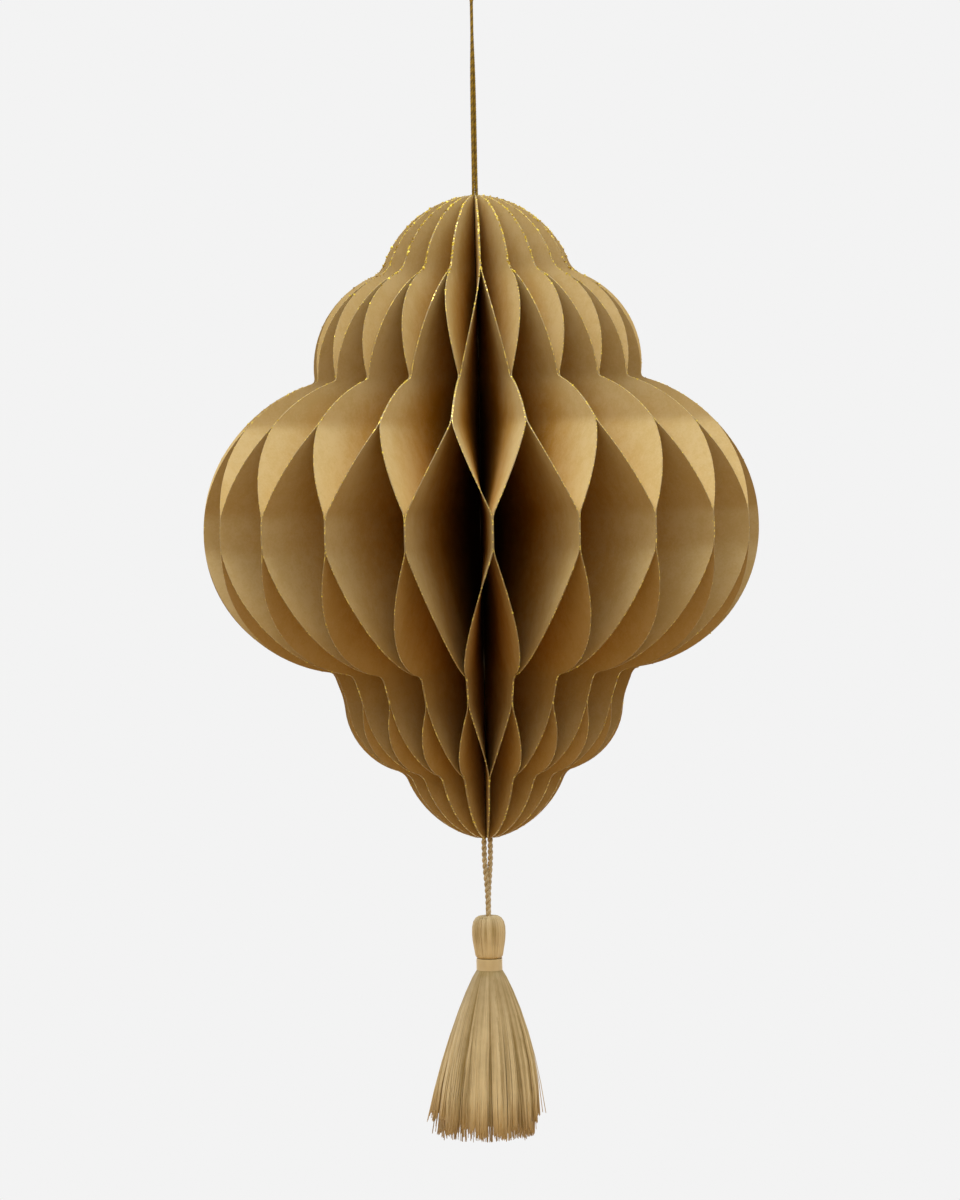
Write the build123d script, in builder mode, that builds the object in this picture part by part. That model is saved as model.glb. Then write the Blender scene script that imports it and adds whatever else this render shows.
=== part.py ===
from build123d import *
from math import acos, atan2, ceil, cos, hypot, pi, radians, sin, sqrt, tan
import os

# Honeycomb paper ornament with a hanging loop above and a tassel below, in millimetres.
# The origin is the point at the top of the loop where it bears on its hook. +Z is up and -Y is the front.
# Every leaf is one sheet of paper cut to half of the ornament's outline, with its straight edge on a spine.
# Neighbouring leaves are glued face to face in stripes, by turns on the left and on the right, so that they
# open into cells between the stripes. A reach is a distance from the axis, a drop one below the leaves' top.

# Paper leaves
pair_count = 21
paper = 0.25
first_pair_turn = 2.2

# Largest distance between an arc of a leaf's outline and the straight facets that follow it
facet_sag = 0.3

# Outline of a leaf from the top down: reaches of its ends and waists, heights and bulges of its tiers
top_reach = 3.4
crown_height = 23.7
crown_bulge = 5.2
first_waist = 29.9
shoulder_height = 33.5
shoulder_bulge = 7.2
second_waist = 51.1
belly_reach = 86.6
third_waist = 47.4
flare_reach = 43.9
collar_height = 22.6
collar_bulge = 5.2
fourth_waist = 25.4
tip_height = 20.8
tip_bulge = 3.7
bottom_reach = 4.0

# Heights of the glue stripes and of the open cells between them, from the second waist down to the collar.
# The belly is widest at the middle of the middle stripe.
upper_stripe = 13.8
upper_cells = 27.1
middle_stripe = 11.1
lower_cells = 38.0
lower_stripe = 9.4

# Spine, the rod that the straight edges are glued to, with a slot in each end for a cord's legs
spine_wall = 0.35
glue_film = 0.02
socket_depth = 6.0
cord_play = 0.05

# Hanging cord, a closed loop: it comes out of the spine as two legs and turns over its hook
hanger_diameter = 1.05
hanger_drop = 70.0
hanger_leg_gap = 0.12
eye_width = 7.4

# Tassel cord: two legs that turn round inside the tassel's head
tassel_cord_diameter = 1.8
tassel_leg_gap = 0.1
tassel_hang = 24.7
bend_depth = 5.0
bend_width = 4.2

# Largest share of a cord's shorter run that an arc takes at each of its corners
arc_share = 0.45

# Tassel: the head, the neck with its binding, and the skirt
head_radius = 5.4
head_height = 12.5
head_rounding = 3.2
head_undercut = 2.1
rounding_steps = 3
dimple_radius = 2.2
dimple_floor = 1.1
dimple_depth = 0.8
neck_radius = 3.3
groove = 0.5
binding_radius = 4.1
binding_height = 4.2
binding_edge = 0.6
skirt_length = 53.0
skirt_start_radius = 4.4
hem_radius = 16.6
skirt_rows = 6
row_crowding = 1.5
skirt_spread = 0.75
lock_count = 15
lock_depth = 0.09
head_lock_depth = 0.03


def cord_route(floor, floor_side, turn_height, turn_side):
    """Corners of a cord's route: up or down one leg, over its tight turn and back along the other leg."""
    leg = [(-floor_side, 0, floor), (-turn_side, 0, turn_height)]
    return leg + [(-x, 0, z) for x, _, z in reversed(leg)]


def leg_side(points, height):
    """Distance of a leg's centre line from the axis at a height."""
    (floor_side, _, floor), (turn_side, _, turn_height) = points[:2]
    return abs(floor_side + (turn_side - floor_side) * (height - floor) / (turn_height - floor))


# Places along the axis, from the hook down to the tassel's neck
first_drop = crown_height
second_drop = first_drop + shoulder_height
widest_drop = second_drop + upper_stripe + upper_cells + middle_stripe / 2
third_drop = widest_drop + middle_stripe / 2 + lower_cells
collar_drop = third_drop + lower_stripe
fourth_drop = collar_drop + collar_height
ornament_height = fourth_drop + tip_height
ornament_top = -hanger_drop
ornament_bottom = ornament_top - ornament_height
head_top = ornament_bottom - tassel_hang
head_bottom = head_top - head_height
binding_top = head_bottom - groove
binding_bottom = binding_top - binding_height

# Routes of the cords. Their ends stand just clear of the floors of the spine's slots.
hanger_side = (hanger_diameter + hanger_leg_gap) / 2
hanger_floor = ornament_top - socket_depth + cord_play
hanger_points = cord_route(hanger_floor, hanger_side, hanger_diameter / 2, eye_width / 2)
tassel_side = (tassel_cord_diameter + tassel_leg_gap) / 2
tassel_floor = ornament_bottom + socket_depth - cord_play
tassel_points = cord_route(tassel_floor, tassel_side, head_top - bend_depth, bend_width / 2)

# The spine is as thick as its two slots and their walls need
hanger_mouth = leg_side(hanger_points, ornament_top)
tassel_mouth = leg_side(tassel_points, ornament_bottom)
widest_slot = max(2 * hanger_mouth + hanger_diameter, 2 * tassel_mouth + tassel_cord_diameter) + 2 * cord_play
spine_radius = widest_slot / 2 + spine_wall
leaf_start = spine_radius + glue_film


def arc_between(upper, lower, bulge):
    """Centre and radius (reach, drop, radius) of the arc that bulges outwards between two points."""
    across, down = lower[0] - upper[0], lower[1] - upper[1]
    chord = hypot(across, down)
    radius = (chord**2 / 4 + bulge**2) / (2 * bulge)
    inset = (radius - bulge) / chord
    return (upper[0] + lower[0]) / 2 - inset * down, (upper[1] + lower[1]) / 2 + inset * across, radius


def arc_to_waist(widest, waist):
    """Centre and radius (reach, drop, radius) of the arc from the widest point, upright there, to a waist."""
    inward, apart = widest[0] - waist[0], widest[1] - waist[1]
    radius = (inward**2 + apart**2) / (2 * inward)
    return widest[0] - radius, widest[1], radius


def point_on(arc, drop):
    """Outer point (reach, drop) of an arc at a drop."""
    reach, centre_drop, radius = arc
    return reach + sqrt(radius**2 - (drop - centre_drop) ** 2), drop


crown = arc_between((top_reach, 0), (first_waist, first_drop), crown_bulge)
shoulder = arc_between((first_waist, first_drop), (second_waist, second_drop), shoulder_bulge)
upper_belly = arc_to_waist((belly_reach, widest_drop), (second_waist, second_drop))
lower_belly = arc_to_waist((belly_reach, widest_drop), (third_waist, third_drop))
collar = arc_between((flare_reach, collar_drop), (fourth_waist, fourth_drop), collar_bulge)
tip = arc_between((fourth_waist, fourth_drop), (bottom_reach, ornament_height), tip_bulge)

# Zones from the top down: arc, end point and the leaf's swing there. The zone with no arc is straight.
# At a swing of 1 a leaf is glued to the neighbour on one side, at -1 to the one on the other side.
zones = [
    (crown, (first_waist, first_drop), 1),
    (shoulder, (second_waist, second_drop), -1),
    (upper_belly, point_on(upper_belly, second_drop + upper_stripe), -1),
    (upper_belly, point_on(upper_belly, second_drop + upper_stripe + upper_cells), 1),
    (upper_belly, (belly_reach, widest_drop), 1),
    (lower_belly, point_on(lower_belly, third_drop - lower_cells), 1),
    (lower_belly, (third_waist, third_drop), -1),
    (None, (flare_reach, collar_drop), -1),
    (collar, (fourth_waist, fourth_drop), 1),
    (tip, (bottom_reach, ornament_height), 1),
]
pair_turn = 360 / pair_count
quarter_turn = pair_turn / 4


def outline_points(arc, start, end):
    """Points (reach, drop) of a zone past its start point, as far as its end point, at equal turns."""
    if arc is None:
        return [end]
    reach, drop, radius = arc
    first = atan2(start[1] - drop, start[0] - reach)
    last = atan2(end[1] - drop, end[0] - reach)
    steps = ceil(abs(last - first) / (2 * acos(1 - facet_sag / radius)))
    turns = [first + (last - first) * step / steps for step in range(1, steps)]
    return [(reach + radius * cos(turn), drop + radius * sin(turn)) for turn in turns] + [end]


def section(reach, drop, swing):
    """Corners of a leaf's section: inner and outer on its near face, then inner and outer on its far face."""
    turn = radians(quarter_turn * swing)
    near = -paper / 2 * (1 + swing)
    corners = [(out, aside) for aside in (near, near + paper) for out in (leaf_start, reach)]
    return [
        Vector(out * cos(turn) - aside * sin(turn), out * sin(turn) + aside * cos(turn), ornament_top - drop)
        for out, aside in corners
    ]


def facets_of(polygons):
    """Flat faces on the given rings of corners."""
    return [Face(Wire.make_polygon(polygon)) for polygon in polygons]


def face_fans(inner_start, inner_end, outer):
    """Triangles of one face of the paper in a zone, fanned from the two ends of its straight edge."""
    middle = len(outer) // 2
    upper = [(inner_start, outer[i], outer[i + 1]) for i in range(middle)]
    lower = [(inner_end, outer[i], outer[i + 1]) for i in range(middle, len(outer) - 1)]
    return upper + [(inner_start, outer[middle], inner_end)] + lower


def edge_strip(near, far):
    """Triangles between two rows of as many points."""
    strip = []
    for i in range(len(near) - 1):
        strip += [(near[i], near[i + 1], far[i + 1]), (near[i], far[i + 1], far[i])]
    return strip


def leaf_solid():
    """One leaf as a closed solid of flat facets, with its middle plane on +X."""
    start, start_swing = (top_reach, 0), zones[0][2]
    last = section(*start, start_swing)
    polygons = [(last[0], last[1], last[3], last[2])]
    for arc, end, end_swing in zones:
        sections = [last]
        for reach, drop in outline_points(arc, start, end):
            swing = start_swing + (end_swing - start_swing) * (drop - start[1]) / (end[1] - start[1])
            sections.append(section(reach, drop, swing))
        last = sections[-1]
        inner_near, outer_near, inner_far, outer_far = zip(*sections)
        polygons += face_fans(inner_near[0], inner_near[-1], outer_near)
        polygons += face_fans(inner_far[0], inner_far[-1], outer_far)
        polygons += edge_strip(outer_near, outer_far)
        polygons += edge_strip((inner_near[0], inner_near[-1]), (inner_far[0], inner_far[-1]))
        start, start_swing = end, end_swing
    polygons.append((last[0], last[1], last[3], last[2]))
    return Solid(Shell(facets_of(polygons))).clean()


with BuildPart() as left_leaf:
    add(leaf_solid())

with BuildPart() as right_leaf:
    mirror(left_leaf.part, about=Plane.XZ)

leaves = []
for number in range(2 * pair_count):
    pair, hand = divmod(number, 2)
    turn = -90 + first_pair_turn + pair * pair_turn + (2 * hand - 1) * quarter_turn
    with BuildPart() as leaf:
        add(right_leaf.part if hand else left_leaf.part, rotation=(0, 0, turn))
    leaf.part.label = f"leaf_{number + 1:02d}"
    leaves.append(leaf)

# Spine
with BuildPart() as spine:
    with BuildSketch(Plane.XY.offset(ornament_bottom)):
        Circle(spine_radius)
    extrude(amount=ornament_height)
    with BuildSketch(Plane.XY.offset(ornament_top)):
        SlotCenterToCenter(2 * hanger_mouth, hanger_diameter + 2 * cord_play)
    extrude(amount=-socket_depth, mode=Mode.SUBTRACT)
    with BuildSketch(Plane.XY.offset(ornament_bottom)):
        SlotCenterToCenter(2 * tassel_mouth, tassel_cord_diameter + 2 * cord_play)
    extrude(amount=socket_depth, mode=Mode.SUBTRACT)
spine.part.label = "spine"


def corner_radii(points):
    """Radius of the arc at each corner of a cord's route, as large as its two runs allow."""
    radii = []
    for before, corner, after in zip(points, points[1:], points[2:]):
        arriving, leaving = Vector(corner) - Vector(before), Vector(after) - Vector(corner)
        half_turn = radians(arriving.get_angle(leaving) / 2)
        radii.append(arc_share * min(arriving.length, leaving.length) / tan(half_turn))
    return radii


def cord_solid(name, points, diameter):
    """Plain round tube along a route. Its radii, its length and a check of its volume are printed."""
    radii = corner_radii(points)
    with BuildPart() as tube:
        with BuildLine() as route:
            FilletPolyline(*points, radius=radii)
        with BuildSketch(Plane(origin=route.line @ 0, z_dir=route.line % 0)) as across:
            Circle(diameter / 2)
        sweep(path=route.line)
    tube.part.label = name
    length = route.wire().length
    print(name, "radii", [round(radius, 2) for radius in radii], "length", round(length, 2))
    print(name, "volume over section times length", tube.part.volume / (across.sketch.area * length))
    return tube


hanger_cord = cord_solid("hanger_cord", hanger_points, hanger_diameter)
tassel_cord = cord_solid("tassel_cord", tassel_points, tassel_cord_diameter)

# Way that the tassel cord takes through the head, square in section, with the yarns filling its turn
with BuildPart() as cord_way:
    with BuildLine() as way_route:
        FilletPolyline(*tassel_points, radius=corner_radii(tassel_points))
    with BuildSketch(Plane(origin=way_route.line @ 0, x_dir=(0, 1, 0), z_dir=way_route.line % 0)):
        Rectangle(tassel_cord_diameter + 2 * cord_play, tassel_cord_diameter + 2 * cord_play)
    sweep(path=way_route.line)


def yarn_ring(radius, height, depth):
    """Corners round the bundle at a height: a crest for each lock of yarns, and a furrow after it."""
    reaches = [radius, radius * (1 - depth)] * lock_count
    turns = [pi * step / lock_count for step in range(2 * lock_count)]
    return [Vector(reach * cos(turn), reach * sin(turn), height) for reach, turn in zip(reaches, turns)]


def rounded_edge(radius, height, width, fall, hollow=False):
    """Places (radius, height) past the start of an edge that goes outwards by width while it falls."""
    turns = [pi / 2 * step / rounding_steps for step in range(1, rounding_steps + 1)]
    if hollow:
        return [(radius + width * (1 - cos(turn)), height - fall * sin(turn)) for turn in turns]
    return [(radius + width * sin(turn), height - fall * (1 - cos(turn))) for turn in turns]


def bundle_solid():
    """The bundle of yarns as a closed solid of flat facets, from the dimple in its head down to its hem."""
    side_end = head_bottom + head_undercut
    head = [(dimple_floor, head_top - dimple_depth), (dimple_radius, head_top)]
    head += rounded_edge(dimple_radius, head_top, head_radius - dimple_radius, head_rounding)
    head += [(head_radius, side_end)]
    head += rounded_edge(head_radius, side_end, neck_radius - head_radius, head_undercut, hollow=True)[:-1]
    rings = [yarn_ring(radius, height, head_lock_depth) for radius, height in head]
    rings += [yarn_ring(neck_radius, height, 0) for height in (head_bottom, binding_bottom)]
    for row in range(skirt_rows + 1):
        share = (row / skirt_rows) ** row_crowding
        flare = sin(pi / 2 * share**skirt_spread)
        radius = skirt_start_radius + (hem_radius - skirt_start_radius) * flare
        rings.append(yarn_ring(radius, binding_bottom - skirt_length * share, lock_depth))
    polygons = [rings[0], rings[-1]]
    for upper, lower in zip(rings, rings[1:]):
        polygons += edge_strip(upper + upper[:1], lower + lower[:1])
    return Solid(Shell(facets_of(polygons))).clean()


# Tassel: one bundle of yarns folded over the cord's turn, bound at the neck, with the skirt in locks
with BuildPart() as tassel_yarns:
    add(bundle_solid())
    add(cord_way.part, mode=Mode.SUBTRACT)
tassel_yarns.part.label = "tassel_yarns"

with BuildPart() as neck_binding:
    with BuildSketch(Plane.XY.offset(binding_bottom)):
        RegularPolygon(binding_radius, 2 * lock_count)
        RegularPolygon(neck_radius, 2 * lock_count, mode=Mode.SUBTRACT)
    extrude(amount=binding_height)
    rims = neck_binding.faces().filter_by(Axis.Z)
    chamfer([edge for rim in rims for edge in rim.outer_wire().edges()], binding_edge)
neck_binding.part.label = "neck_binding"

os.makedirs("parts", exist_ok=True)
for piece in leaves + [spine, hanger_cord, tassel_cord, tassel_yarns, neck_binding]:
    export_step(piece.part, f"parts/{piece.part.label}.step")
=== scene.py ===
"""Looks of a honeycomb paper ornament: gold paper leaves, glitter edges, twisted cords and a silky tassel.

Everything is in metres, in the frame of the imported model: the origin is the top of the hanging loop,
+Z is up and -Y is the front.
"""

import logging
import math
from collections.abc import Callable
from dataclasses import dataclass, field
from enum import Enum

import bmesh
import bpy
import numpy as np
from bpy.types import ID, Material, Mesh, NodeSocket, Object, World
from mathutils import Matrix, Vector


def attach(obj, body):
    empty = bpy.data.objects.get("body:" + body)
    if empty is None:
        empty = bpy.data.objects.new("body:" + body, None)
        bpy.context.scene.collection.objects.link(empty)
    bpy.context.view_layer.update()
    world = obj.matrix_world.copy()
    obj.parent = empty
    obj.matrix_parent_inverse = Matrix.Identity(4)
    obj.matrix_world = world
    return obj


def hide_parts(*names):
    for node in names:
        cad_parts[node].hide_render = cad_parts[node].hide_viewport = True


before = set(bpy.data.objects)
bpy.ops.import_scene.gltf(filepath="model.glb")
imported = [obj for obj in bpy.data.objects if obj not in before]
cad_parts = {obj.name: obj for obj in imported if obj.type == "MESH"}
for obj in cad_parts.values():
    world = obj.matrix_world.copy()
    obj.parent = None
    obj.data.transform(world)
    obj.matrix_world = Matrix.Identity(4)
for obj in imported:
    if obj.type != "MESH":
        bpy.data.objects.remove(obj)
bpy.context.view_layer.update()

Pair = tuple[float, float]
Triple = tuple[float, float, float]
Colour = tuple[float, float, float, float]

MM = 0.001
BODY = "root"
# The shade attribute holds each strand point's tone together with painted shade
SHADE = "shade"  # attribute that holds the shade of each point of a strand
ASKEW = (0.317, 0.873, 0.371)  # direction that no strand follows
log = logging.getLogger("honeycomb_ornament")


# Sockets and shader maths


class Signal:
    """One shader socket with arithmetic: every operator adds a Math node behind it."""

    def __init__(self, shader: "Shader", socket: NodeSocket) -> None:
        """Keeps an output socket and the shader that it belongs to."""
        self.shader = shader
        self.socket = socket

    def math(self, operation: str, *others: "Signal | float") -> "Signal":
        """Math node on this value, with a second operand where the operation has one."""
        return self.shader.node("ShaderNodeMath", {"operation": operation}, dict(enumerate((self, *others))))

    def sibling(self, output: str) -> "Signal":
        """Another output of the same node."""
        return Signal(self.shader, self.socket.node.outputs[output])

    def __add__(self, other: "Signal | float") -> "Signal":
        """Sum."""
        return self.math("ADD", other)

    __radd__ = __add__

    def __sub__(self, other: "Signal | float") -> "Signal":
        """Difference."""
        return self.math("SUBTRACT", other)

    def __rsub__(self, other: float) -> "Signal":
        """Difference from a number."""
        return self.shader.node("ShaderNodeMath", {"operation": "SUBTRACT"}, {0: other, 1: self})

    def __mul__(self, other: "Signal | float") -> "Signal":
        """Product."""
        return self.math("MULTIPLY", other)

    __rmul__ = __mul__

    def ramp(self, low: float, high: float) -> "Signal":
        """Straight ramp from 0 at low to 1 at high, held outside."""
        values = {"Value": self, "From Min": low, "From Max": high, "To Min": 0.0, "To Max": 1.0}
        return self.shader.node("ShaderNodeMapRange", {"clamp": True}, values)


class Shader:
    """Builds the nodes of one procedural material, or of the world."""

    def __init__(self, name: str, world: bool = False) -> None:
        """Starts an empty material or world.

        Args:
            name: Its name.
            world: Whether it is a world.
        """
        self.owner = bpy.data.worlds.new(name) if world else bpy.data.materials.new(name)
        self.owner.use_nodes = True
        self.tree = self.owner.node_tree
        self.tree.nodes.clear()
        self.output = self.tree.nodes.new("ShaderNodeOutputWorld" if world else "ShaderNodeOutputMaterial")

    def node(
        self, kind: str, settings: dict[str, object], inputs: dict[int | str, object], output: int | str = 0
    ) -> Signal:
        """Adds a node, sets it and links its inputs.

        Args:
            kind: Blender's type name of the node.
            settings: Attributes that are set before the sockets.
            inputs: Value or Signal of each input, by index or name.
            output: Index or name of the output that is returned.

        Returns:
            The chosen output.
        """
        made = self.tree.nodes.new(kind)
        for attribute, value in settings.items():
            setattr(made, attribute, value)
        for key, value in inputs.items():
            if isinstance(value, Signal):
                self.tree.links.new(value.socket, made.inputs[key])
            else:
                made.inputs[key].default_value = value
        return Signal(self, made.outputs[output])

    def place(self) -> Signal:
        """Object coordinates of the shaded point, in metres."""
        return self.node("ShaderNodeTexCoord", {}, {}, "Object")

    def uv(self, axis: str) -> Signal:
        """One component of the piece's own UV map."""
        coordinates = self.node("ShaderNodeTexCoord", {}, {}, "UV")
        return self.node("ShaderNodeSeparateXYZ", {}, {0: coordinates}, axis)

    def stretched(self, scale: Triple) -> Signal:
        """Object coordinates scaled along each axis, for a stretched pattern."""
        return self.node("ShaderNodeMapping", {}, {"Vector": self.place(), "Scale": scale})

    def noise(self, vector: Signal, scale: float, detail: float) -> Signal:
        """Noise between 0 and 1, its scale in waves a unit of the coordinates and its detail in octaves."""
        inputs = {"Vector": vector, "Scale": scale, "Detail": detail}
        return self.node("ShaderNodeTexNoise", {}, inputs, "Fac")

    def mix(self, share: Signal | float, first: object, second: object) -> Signal:
        """Mixes two colours by a share."""
        return self.node("ShaderNodeMix", {"data_type": "RGBA"}, {0: share, 6: first, 7: second}, 2)

    def bump(self, height: Signal, distance: float, strength: float = 1.0) -> Signal:
        """Normal bent by a height. The distance is the metres between height 0 and 1."""
        return self.node("ShaderNodeBump", {}, {"Height": height, "Distance": distance, "Strength": strength})

    def surface(self, **inputs: object) -> Material:
        """Ends the material with a Principled shader, given its sockets with underscores for spaces."""
        named = {key.replace("_", " "): value for key, value in inputs.items()}
        return self.end(self.node("ShaderNodeBsdfPrincipled", {}, named))

    def end(self, closure: Signal) -> Material | World:
        """Links the last shader to the output, and returns the finished material or world."""
        self.tree.links.new(closure.socket, self.output.inputs["Surface"])
        return self.owner


# Finishes


def rgba(red: float, green: float, blue: float) -> Colour:
    """Opaque linear colour."""
    return (red, green, blue, 1.0)


@dataclass(frozen=True)
class PearlPaper:
    """Gold paper, lighter along its outer edge, with painted shade that darkens its colour towards the spine,
    and a pearly mottle.

    The patterns are given in waves a metre and the relief in metres.
    """

    edge: Colour = rgba(0.63, 0.47, 0.2)
    # These two colours are painted shade: orange brown and dark brown for the paper far inside its cells
    middle: Colour = rgba(0.54, 0.265, 0.012)
    painted_deep_shade: Colour = rgba(0.12, 0.045, 0.003)
    pale: Colour = rgba(0.74, 0.6, 0.33)
    roughness: float = 0.55
    shine: float = 0.1
    cloud_waves: float = 55.0
    blot_waves: float = 320.0
    fibre_waves: float = 1400.0
    grain_waves: float = 3600.0
    mottle_share: float = 0.45
    relief_height: float = 0.00006

    def material(self) -> Material:
        """Paper: fibres, clouds and a satin surface.

        Its colour follows the UV map, whose X is 1 at the outer edge and falls inwards, where painted shade
        darkens it.

        Returns:
            The material.
        """
        shader = Shader("pearl_paper")
        place = shader.place()
        clouds = shader.noise(place, self.cloud_waves, 3.0)
        blots = shader.noise(place, self.blot_waves, 2.0)
        fibres = shader.noise(place, self.fibre_waves, 2.0)
        grain = shader.noise(place, self.grain_waves, 1.0)
        out = shader.uv("X") + (clouds - 0.5) * 0.12
        # Painted shade: from the edge colour inwards to orange brown, then dark brown near the spine
        colour = shader.mix(out.ramp(0.14, 0.6), self.painted_deep_shade, self.middle)
        colour = shader.mix(out.ramp(0.5, 0.92), colour, self.edge)
        mottle = clouds * 0.35 + blots * 0.25 + fibres * 0.25 + grain * 0.15
        # The lighter pearly mottle fades inwards with the painted shade
        pearl = mottle.ramp(0.43, 0.57) * out.ramp(0.2, 0.9) * self.mottle_share
        colour = shader.mix(pearl, colour, self.pale)
        relief = fibres * 0.6 + grain * 0.4
        return shader.surface(
            Base_Color=colour,
            Roughness=self.roughness + (fibres - 0.5) * 0.16,
            Specular_IOR_Level=self.shine,
            Normal=shader.bump(relief, self.relief_height, 0.6),
        )


@dataclass(frozen=True)
class CutEdge:
    """Cut edge of the paper with a line of fine gold glitter on it, whose specks are in waves a metre."""

    paper: Colour = rgba(0.38, 0.28, 0.12)
    glitter: Colour = rgba(0.8, 0.6, 0.12)
    speck_waves: float = 1300.0

    def material(self) -> Material:
        """Edge: bare paper with bright specks.

        Returns:
            The material.
        """
        shader = Shader("cut_edge")
        specks = shader.noise(shader.place(), self.speck_waves, 0.0).ramp(0.56, 0.64)
        return shader.surface(
            Base_Color=shader.mix(specks, self.paper, self.glitter),
            Metallic=specks * 0.5,
            Roughness=0.6 - specks * 0.25,
        )


@dataclass(frozen=True)
class GlitterFlake:
    """Gold flakes stuck to the edges, duller and brighter in patches that are in waves a metre."""

    dull: Colour = rgba(0.55, 0.37, 0.02)
    bright: Colour = rgba(1.0, 0.8, 0.09)
    patch_waves: float = 900.0

    def material(self) -> Material:
        """Flakes: shiny metal foil.

        Returns:
            The material.
        """
        shader = Shader("glitter_flake")
        share = shader.noise(shader.place(), self.patch_waves, 0.0).ramp(0.4, 0.6)
        return shader.surface(
            Base_Color=shader.mix(share, self.dull, self.bright), Metallic=0.45, Roughness=0.35
        )


@dataclass(frozen=True)
class TwistedYarn:
    """Yarn of a cord or of the tassel, with fine filaments along it.

    The filaments are in waves a metre along each axis, and own is the weight of each strand's shade
    attribute, which holds tone and painted shade.
    """

    name: str
    dark: Colour
    light: Colour
    metal: float
    roughness: float
    sheen: float
    filaments: Triple
    own: float
    spot_waves: float = 420.0
    relief_height: float = 0.00008

    def material(self) -> Material:
        """Yarn: streaks along its length, each strand's shade attribute with painted shade in it, and silky
        light.

        Returns:
            The material.
        """
        shader = Shader(self.name)
        streaks = shader.noise(shader.stretched(self.filaments), 1.0, 2.0)
        spots = shader.noise(shader.place(), self.spot_waves, 1.0)
        share = (streaks * 0.7 + spots * 0.3).ramp(0.36, 0.64)
        shade = shader.node("ShaderNodeAttribute", {"attribute_name": SHADE}, {}, "Fac")
        share = share * (1.0 - self.own) + shade * self.own
        return shader.surface(
            Base_Color=shader.mix(share, self.dark, self.light),
            Metallic=self.metal,
            Roughness=self.roughness + (streaks - 0.5) * 0.2,
            Sheen_Weight=self.sheen,
            Sheen_Roughness=0.35,
            Normal=shader.bump(streaks, self.relief_height, 0.7),
        )


@dataclass(frozen=True)
class GluedSpine:
    """Glued and stitched paper edges on the axis.

    The glints are the heights of smeared adhesive, painted pale as glints, and the reach is half of a smear's
    height, in metres.
    The streaks are in waves a metre along each axis.
    """

    dark: Colour = rgba(0.05, 0.032, 0.014)
    # Pale colour of the painted glints
    light: Colour = rgba(0.62, 0.6, 0.56)
    glints: Triple = (-0.1155, -0.1725, -0.216)
    reach: float = 0.006
    streaks: Triple = (900.0, 900.0, 40.0)
    shine: float = 0.12
    relief_height: float = 0.0001

    def material(self) -> Material:
        """Spine: dark, with a smear of adhesive at a few heights that is smoother and painted pale as a
        glint.

        Returns:
            The material.
        """
        shader = Shader("glued_spine")
        streaks = shader.noise(shader.stretched(self.streaks), 1.0, 2.0)
        height = shader.node("ShaderNodeSeparateXYZ", {}, {0: shader.place()}, "Z")
        near = [1.0 - (height - glint).math("ABSOLUTE").ramp(0.0, self.reach) for glint in self.glints]
        # Painted glint: pale colour where the adhesive smears are, which are also smoother
        glue_and_painted_glint = (near[0] + near[1] + near[2]) * streaks.ramp(0.3, 0.6)
        return shader.surface(
            Base_Color=shader.mix(glue_and_painted_glint, self.dark, self.light),
            Roughness=0.7 - glue_and_painted_glint * 0.4,
            Specular_IOR_Level=self.shine,
            Normal=shader.bump(streaks, self.relief_height),
        )


GOLD_YARN = TwistedYarn(
    name="gold_yarn",
    dark=rgba(0.11, 0.06, 0.002),
    light=rgba(0.44, 0.27, 0.006),
    metal=0.15,
    roughness=0.6,
    sheen=0.0,
    filaments=(900.0, 900.0, 500.0),
    own=0.75,
)
CORD_SILK = TwistedYarn(
    name="cord_silk",
    dark=rgba(0.42, 0.31, 0.13),
    light=rgba(0.8, 0.67, 0.4),
    metal=0.0,
    roughness=0.5,
    sheen=0.1,
    filaments=(900.0, 900.0, 500.0),
    own=0.4,
)
TASSEL_SILK = TwistedYarn(
    name="tassel_silk",
    dark=rgba(0.38, 0.25, 0.055),
    light=rgba(0.96, 0.8, 0.46),
    metal=0.0,
    roughness=0.42,
    sheen=0.1,
    filaments=(330.0, 330.0, 30.0),
    own=0.8,
)


# Mesh helpers


def deselect_everything() -> None:
    """Leaves nothing selected, because an operator acts on all that is selected."""
    if bpy.context.object and bpy.context.object.mode != "OBJECT":
        bpy.ops.object.mode_set(mode="OBJECT")
    bpy.ops.object.select_all(action="DESELECT")


def select_vertices(piece: Object, wanted: Callable[[Vector], bool]) -> None:
    """Selects a mesh's vertices by their place, in edit mode.

    Args:
        piece: The object in edit mode.
        wanted: Function of a vertex place that says whether it is selected.
    """
    mesh = bmesh.from_edit_mesh(piece.data)
    for vertex in mesh.verts:
        vertex.select_set(wanted(vertex.co))
    mesh.select_flush_mode()
    bmesh.update_edit_mesh(piece.data)


def finish_piece(
    piece: Object, name: str, node: str = "", finish: Material | None = None
) -> None:
    """Names a piece, dresses it and ties it to the frame.

    Args:
        piece: The finished object.
        name: Its name.
        node: The CAD node that it stands for, if any.
        finish: Its material, unless it has one.
    """
    piece.name = name
    piece.data.name = name
    if finish:
        piece.data.materials.append(finish)
    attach(piece, BODY)
    if node:
        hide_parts(node)
    log.info("%s: %d faces", name, len(piece.data.polygons))


def new_object(name: str, data: ID) -> Object:
    """New object in the scene.

    Args:
        name: Its name.
        data: Its mesh, curve, camera or light.

    Returns:
        The object.
    """
    made = bpy.data.objects.new(name, data)
    bpy.context.scene.collection.objects.link(made)
    return made


def mesh_piece(name: str, points: np.ndarray, faces: list[tuple[int, ...]]) -> Object:
    """New mesh object.

    Args:
        name: Its name.
        points: Its points, in metres.
        faces: The points of each face, by number.

    Returns:
        The object.
    """
    mesh = bpy.data.meshes.new(name)
    mesh.from_pydata([tuple(point) for point in points], [], faces)
    mesh.update()
    return new_object(name, mesh)


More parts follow.
